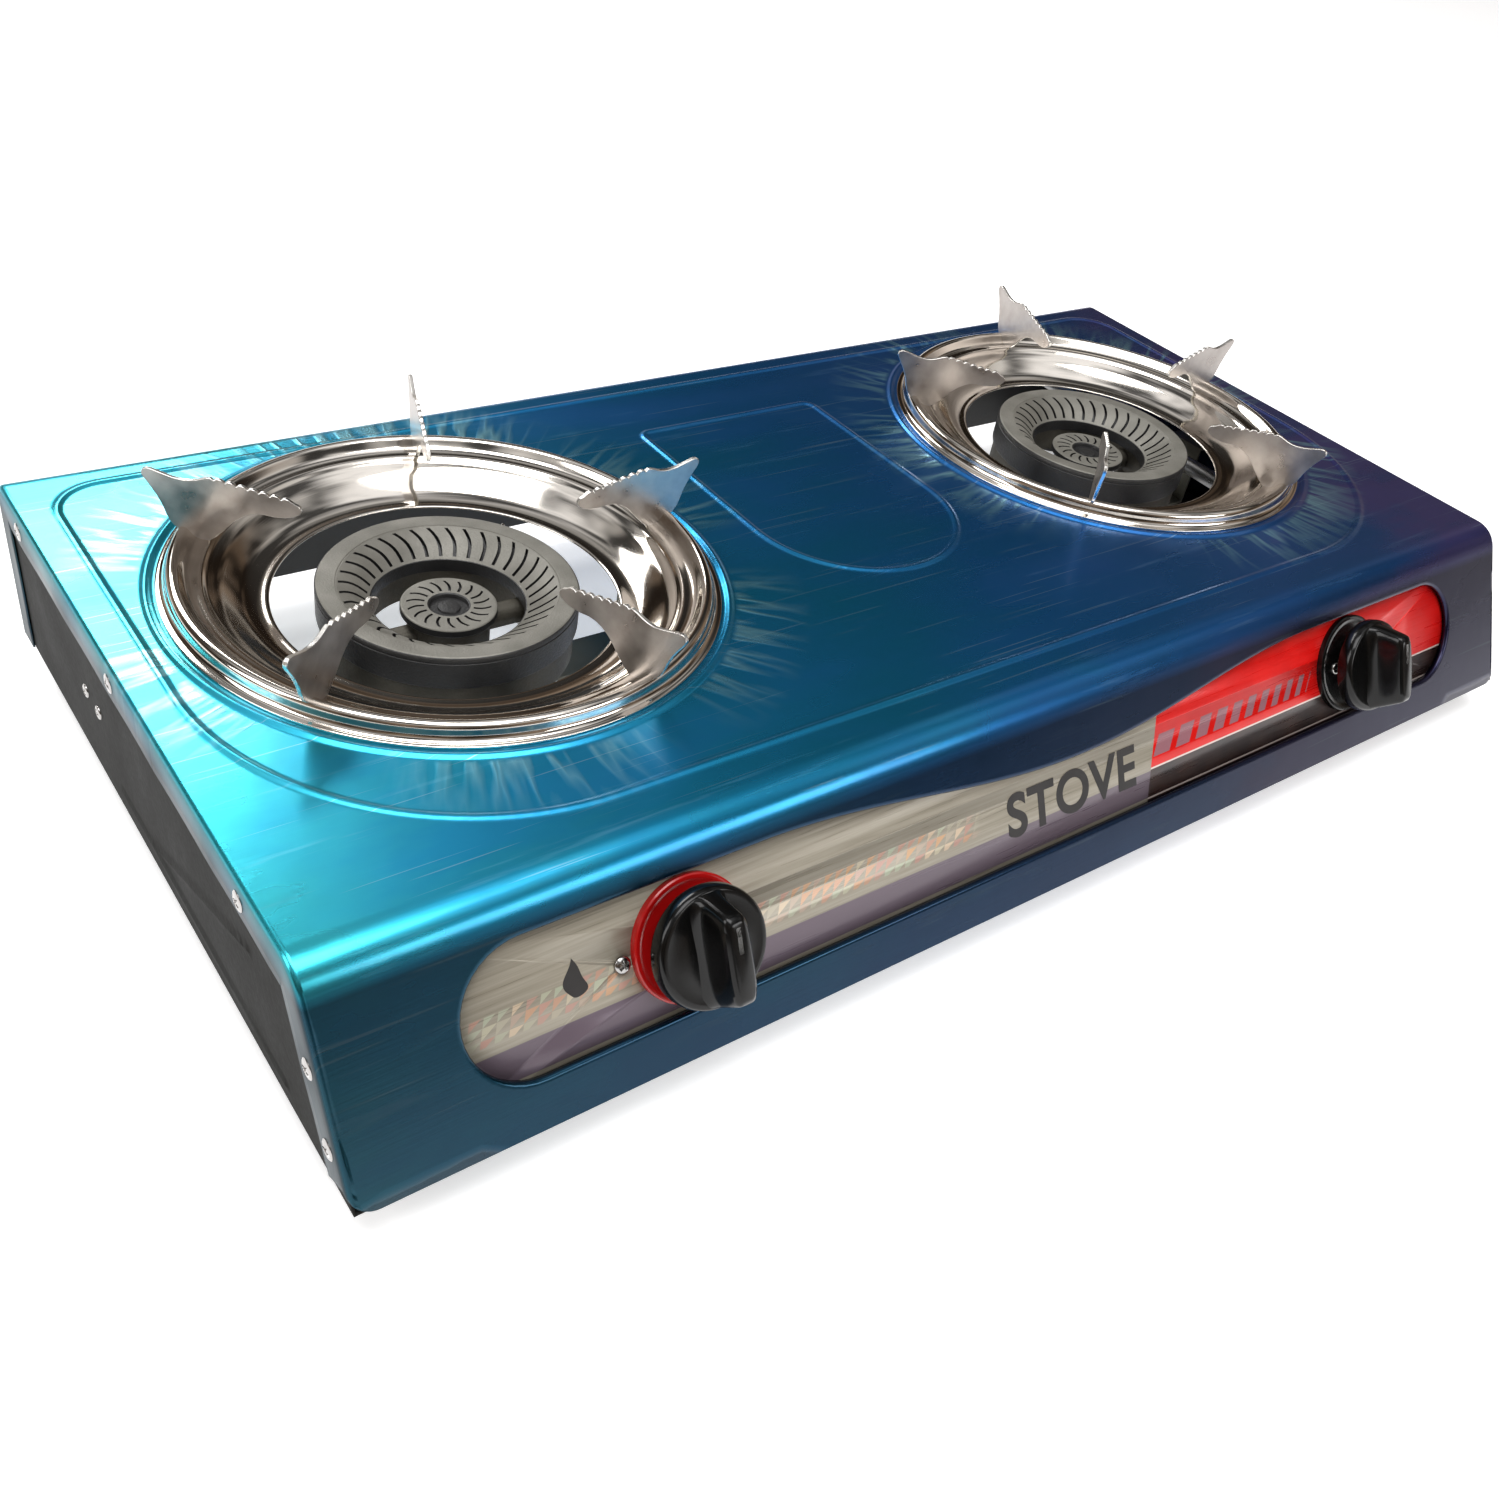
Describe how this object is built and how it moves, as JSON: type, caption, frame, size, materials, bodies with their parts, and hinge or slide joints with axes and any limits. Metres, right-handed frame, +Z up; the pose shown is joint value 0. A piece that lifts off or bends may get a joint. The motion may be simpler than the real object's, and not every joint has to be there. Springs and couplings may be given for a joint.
{
  "type": "camping stove",
  "caption": "Table-top gas camping stove: low sheet-steel body with sloping front, lift-out drip pans with pot supports, cast ring burners and push-and-turn knobs.",
  "frame": {"origin": "centre of the underside of the whole stove's box, on the surface that the feet stand on", "axes": "+Z up, +X to the right along the front, -Y towards the knobs"},
  "size_m": [0.7018, 0.406, 0.1306],
  "materials": {
    "filmed_steel": "blue protective film over satin stainless, glossy, creased",
    "black_paint": "satin charcoal paint",
    "label_print": "printed foil, silver beige with a red end",
    "chrome_fastener": "bright plated",
    "foot_rubber": "matt black",
    "pan_steel": "polished stainless",
    "support_steel": "satin stainless sheet",
    "burner_iron": "dark cast iron",
    "cap_iron": "grey cast iron, slotted",
    "bracket_steel": "plain strip steel",
    "shutter_steel": "plated sheet",
    "brass": "machined",
    "valve_alloy": "die cast",
    "spring_steel": "bright steel",
    "knob_plastic": "glossy black moulding",
    "bezel_plastic": "glossy red moulding",
    "rail_steel": "drawn tube",
    "igniter_plastic": "black moulding",
    "ceramic": "glazed white",
    "lead_silicone": "white silicone"
  },
  "bodies": {
    "stove_body": {"top_shell": "filmed_steel", "side_panel_left": "black_paint", "side_panel_right": "black_paint", "back_panel": "black_paint", "label_plate": "label_print", "panel_rivets": "chrome_fastener", "panel_screws": "chrome_fastener", "valve_screws": "chrome_fastener", "foot_screws": "chrome_fastener", "bracket_screws": "chrome_fastener", "foot_front_left": "foot_rubber", "foot_front_right": "foot_rubber", "foot_back_left": "foot_rubber", "foot_back_right": "foot_rubber", "burner_body_left": "burner_iron", "burner_body_right": "burner_iron", "burner_bracket_left": "bracket_steel", "burner_bracket_right": "bracket_steel", "gas_injectors": "brass", "hose_inlet": "brass", "inlet_nut": "brass", "gas_valve_left": "valve_alloy", "gas_valve_right": "valve_alloy", "knob_bezel_right": "knob_plastic", "knob_bezel_left": "bezel_plastic", "gas_rail": "rail_steel", "piezo_igniters": "igniter_plastic", "electrode_insulators": "ceramic", "electrode_rods": "spring_steel", "ignition_leads": "lead_silicone"},
    "tap_plug_left": {"valve_plug_left": "brass", "valve_spring_left": "spring_steel"},
    "knob_left": {"knob_left": "knob_plastic", "valve_stem_left": "spring_steel"},
    "pan_left": {"drip_pan_left": "pan_steel", "pot_supports_left": "support_steel"},
    "ring_cap_left": {"ring_cap_left": "cap_iron"},
    "centre_cap_left": {"centre_cap_left": "cap_iron"},
    "air_shutter_ring_left": {"air_shutter_ring_left": "shutter_steel"},
    "air_shutter_centre_left": {"air_shutter_centre_left": "shutter_steel"},
    "tap_plug_right": {"valve_plug_right": "brass", "valve_spring_right": "spring_steel"},
    "knob_right": {"knob_right": "knob_plastic", "valve_stem_right": "spring_steel"},
    "pan_right": {"drip_pan_right": "pan_steel", "pot_supports_right": "support_steel"},
    "ring_cap_right": {"ring_cap_right": "cap_iron"},
    "centre_cap_right": {"centre_cap_right": "cap_iron"},
    "air_shutter_ring_right": {"air_shutter_ring_right": "shutter_steel"},
    "air_shutter_centre_right": {"air_shutter_centre_right": "shutter_steel"}
  },
  "joints": [
    {"name": "knob_turn_left", "type": "hinge", "parent": "stove_body", "child": "tap_plug_left", "pos_m": [-0.208, -0.16785, 0.05883], "axis": [0, -0.8876, 0.4606], "range_deg": [0, 180]},
    {"name": "knob_push_left", "type": "slide", "parent": "tap_plug_left", "child": "knob_left", "axis": [0, 0.8876, -0.4606], "range_m": [0, 0.003], "stiffness_N_per_m": 700},
    {"name": "pan_lift_left", "type": "slide", "parent": "stove_body", "child": "pan_left", "axis": [0, 0, 1], "range_m": [0, 0.08]},
    {"name": "ring_cap_lift_left", "type": "slide", "parent": "stove_body", "child": "ring_cap_left", "axis": [0, 0, 1], "range_m": [0, 0.06]},
    {"name": "centre_cap_lift_left", "type": "slide", "parent": "stove_body", "child": "centre_cap_left", "axis": [0, 0, 1], "range_m": [0, 0.05]},
    {"name": "air_shutter_turn_ring_left", "type": "hinge", "parent": "stove_body", "child": "air_shutter_ring_left", "pos_m": [-0.22, -0.10454, 0.044], "axis": [0, 1, 0], "range_deg": [0, 45]},
    {"name": "air_shutter_turn_centre_left", "type": "hinge", "parent": "stove_body", "child": "air_shutter_centre_left", "pos_m": [-0.192, -0.10454, 0.044], "axis": [0, 1, 0], "range_deg": [0, 45]},
    {"name": "knob_turn_right", "type": "hinge", "parent": "stove_body", "child": "tap_plug_right", "pos_m": [0.208, -0.16785, 0.05883], "axis": [0, -0.8876, 0.4606], "range_deg": [0, 180]},
    {"name": "knob_push_right", "type": "slide", "parent": "tap_plug_right", "child": "knob_right", "axis": [0, 0.8876, -0.4606], "range_m": [0, 0.003], "stiffness_N_per_m": 700},
    {"name": "pan_lift_right", "type": "slide", "parent": "stove_body", "child": "pan_right", "axis": [0, 0, 1], "range_m": [0, 0.08]},
    {"name": "ring_cap_lift_right", "type": "slide", "parent": "stove_body", "child": "ring_cap_right", "axis": [0, 0, 1], "range_m": [0, 0.06]},
    {"name": "centre_cap_lift_right", "type": "slide", "parent": "stove_body", "child": "centre_cap_right", "axis": [0, 0, 1], "range_m": [0, 0.05]},
    {"name": "air_shutter_turn_ring_right", "type": "hinge", "parent": "stove_body", "child": "air_shutter_ring_right", "pos_m": [0.192, -0.10454, 0.044], "axis": [0, 1, 0], "range_deg": [0, 45]},
    {"name": "air_shutter_turn_centre_right", "type": "hinge", "parent": "stove_body", "child": "air_shutter_centre_right", "pos_m": [0.22, -0.10454, 0.044], "axis": [0, 1, 0], "range_deg": [0, 45]}
  ]
}
